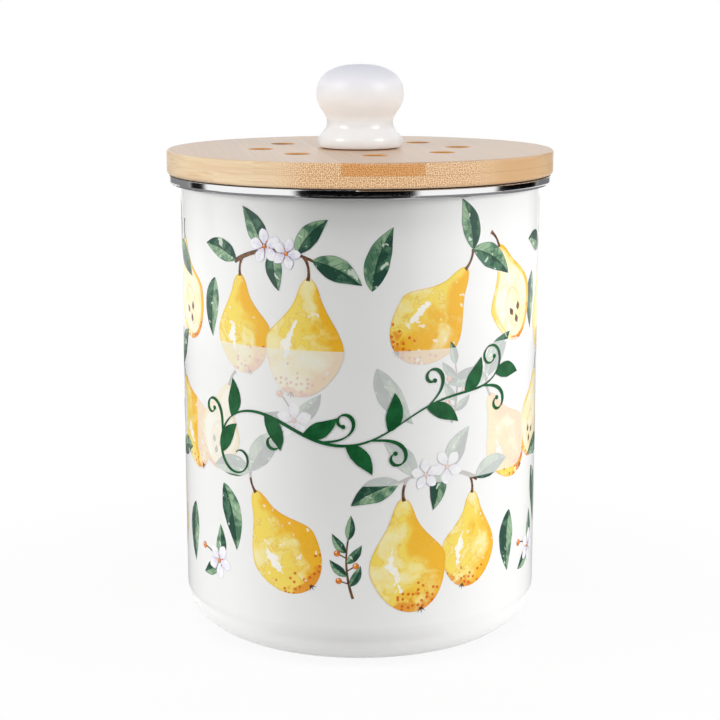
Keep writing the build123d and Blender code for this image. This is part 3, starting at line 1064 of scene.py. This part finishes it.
# %% [markdown]
# Polished metal is only as good as what it reflects. Straight ahead the tent has a tall dark
# gap, which gives the rim its wide black bar and leaves the middle of the canister a little
# greyer than its sides. Darker cards at the sides, behind and on the floor are seen by
# reflections alone: they end the white stretches of the rim, and draw the grey line along its
# curled foot. Every card fades out at its sides.

# %% Dark cards
card_radius = 1.35
card_fade = 3.0                         # degrees
gap_left, gap_right = -36.7, 32.4       # the dark gap's sides, in degrees


def card(name, left, right, outline, grey, lights):
    """A shape turned about the canister from one bearing to another, in degrees to the right
    of straight ahead: its outline gives radius and height. The camera never sees it, and it
    stays out of the diffuse light and the shadows unless it lights."""
    finish = Finish(name)
    bearing = finish.bearing() * (180 / pi)
    inside_left = bearing.step(left - card_fade, left + card_fade)
    inside_right = bearing.step(right + card_fade, right - card_fade)
    glow = finish.node("Emission", {}, {"Color": (grey, grey, grey * 1.03, 1)})
    finish.show((inside_left * inside_right).blend(finish.node("BsdfTransparent"), glow))
    turn = np.radians(np.linspace(left - card_fade, right + card_fade, 73))[:, None]
    points = carried(turn, *np.array(outline).T)
    made = piece_from(name, points, grid_faces(numbered(points)), finish)
    made.visible_camera = False
    made.visible_shadow = lights
    made.visible_diffuse = lights


def ring(inner, outer, height):
    """The outline of a card that lies level, just above the floor."""
    return [(inner, height), (outer, height)]


tall, low = [[(card_radius, 0.0), (card_radius, top)] for top in (1.3, 0.55)]
beside = ring(0.095, 0.8, 0.0012)
for name, left, right, outline, grey in (
        ("ahead", gap_left, gap_right, tall, 0.002),
        ("left", -118, -101.4, low, 0.008),
        ("far_left", -157, -118, low, 0.25),
        ("right", 85.4, 127, low, 0.002),
        ("far_right", 127, 157, low, 0.19),
        ("floor_ahead", gap_left, gap_right, ring(0.26, 1.3, 0.0012), 0.01),
        ("floor_near", gap_left, gap_right, ring(0.085, 0.27, 0.0010), 0.03),
        ("floor_left", -180, gap_left, beside, 0.24),
        ("floor_right", gap_right, 180, beside, 0.24)):
    card("card_" + name, left, right, outline, grey, lights=name.endswith("ahead"))

# %% [markdown]
# Two wide soft boxes almost square to the camera's line graze the front of the canister, which
# shades it from its sides to its middle. A high one throws the rim's soft shadow down the
# wall. The lid is kept out of their light and has two of its own, and two weak ones lighten
# the knob's flanks. Polished surfaces mirror none of these. Two small ones, higher up at the
# sides, give the knob its glints and no other light.

# %% Lamps
lamp_distance = 1.15
lid_pieces = bpy.data.collections.new("lid_pieces")
for body in ("gasket", "lid", "filter_holder"):
    for name in frame["record"]["behaviour"]["bodies"][body]:
        lid_pieces.objects.link(nodes[name])
lid_pieces.objects.link(felt_pad)
knob_alone = bpy.data.collections.new("knob_alone")
knob_alone.objects.link(nodes["knob"])
all_but_lid = lid_pieces.copy()
for held in all_but_lid.collection_objects:
    held.light_linking.link_state = "EXCLUDE"


def soft_box(name, bearing, rise, wide, tall, power, lights, mirrored):
    """A rectangular lamp that looks at the middle of the canister from a bearing, to the right
    of straight ahead, and a rise above the level. It lights some of the pieces only, and it is
    either light without a mirror image or a mirror image without light."""
    data = bpy.data.lights.new(name, "AREA")
    data.shape = "RECTANGLE"
    data.size, data.size_y = wide, tall
    data.energy = power
    lamp = placed(name, data)
    out = np.array([sin(bearing) * cos(rise), -cos(bearing) * cos(rise), sin(rise)])
    lamp.location = np.array([0, 0, board_low / 2]) + lamp_distance * out
    lamp.rotation_euler = (pi / 2 - rise, 0, bearing)
    lamp.visible_camera = False
    lamp.visible_glossy = mirrored
    lamp.visible_diffuse = not mirrored
    lamp.light_linking.receiver_collection = lights


for name, bearing, rise, wide, tall, power, lights in (
        ("soft_box_left", -75, 14, 0.5, 0.6, 7.3, all_but_lid),
        ("soft_box_right", 74, 14, 0.5, 0.6, 8.7, all_but_lid),
        ("soft_box_high", 0, 72, 0.9, 0.3, 6.0, all_but_lid),
        ("soft_box_lid_left", -50, 16, 0.5, 0.5, 6.6, lid_pieces),
        ("soft_box_lid_right", 50, 16, 0.5, 0.5, 6.2, lid_pieces),
        ("knob_side_left", -98, 12, 0.4, 0.4, 1.3, knob_alone),
        ("knob_side_right", 98, 12, 0.4, 0.4, 1.3, knob_alone),
        ("glint_left", -60, 34, 0.24, 0.24, 5.0, knob_alone),
        ("glint_right", 60, 34, 0.24, 0.24, 5.0, knob_alone)):
    mirrored = name.startswith("glint")
    soft_box(name, radians(bearing), radians(rise), wide, tall, power, lights, mirrored)

# %% [markdown]
# The camera stands where the picture was taken from: on the front axis, a little above the
# lid, looking down by about eleven degrees through a long lens.

# %% Camera
camera_back, camera_height, camera_pitch = 0.7919, 0.2719, 0.1904
picture_width = 720
pixels_per_unit = 1764.7     # focal length, in pixels of the picture's width
camera_data = bpy.data.cameras.new("camera")
camera_data.sensor_width = 36.0
camera_data.lens = camera_data.sensor_width * pixels_per_unit / picture_width
camera = placed("camera", camera_data)
camera.location = (0, -camera_back, camera_height)
camera.rotation_euler = (pi / 2 - camera_pitch, 0, 0)
bpy.context.scene.camera = camera
bpy.context.scene.view_settings.view_transform = "Standard"
print(f"lens {camera_data.lens:.1f} mm on a {camera_data.sensor_width:.0f} mm sensor")
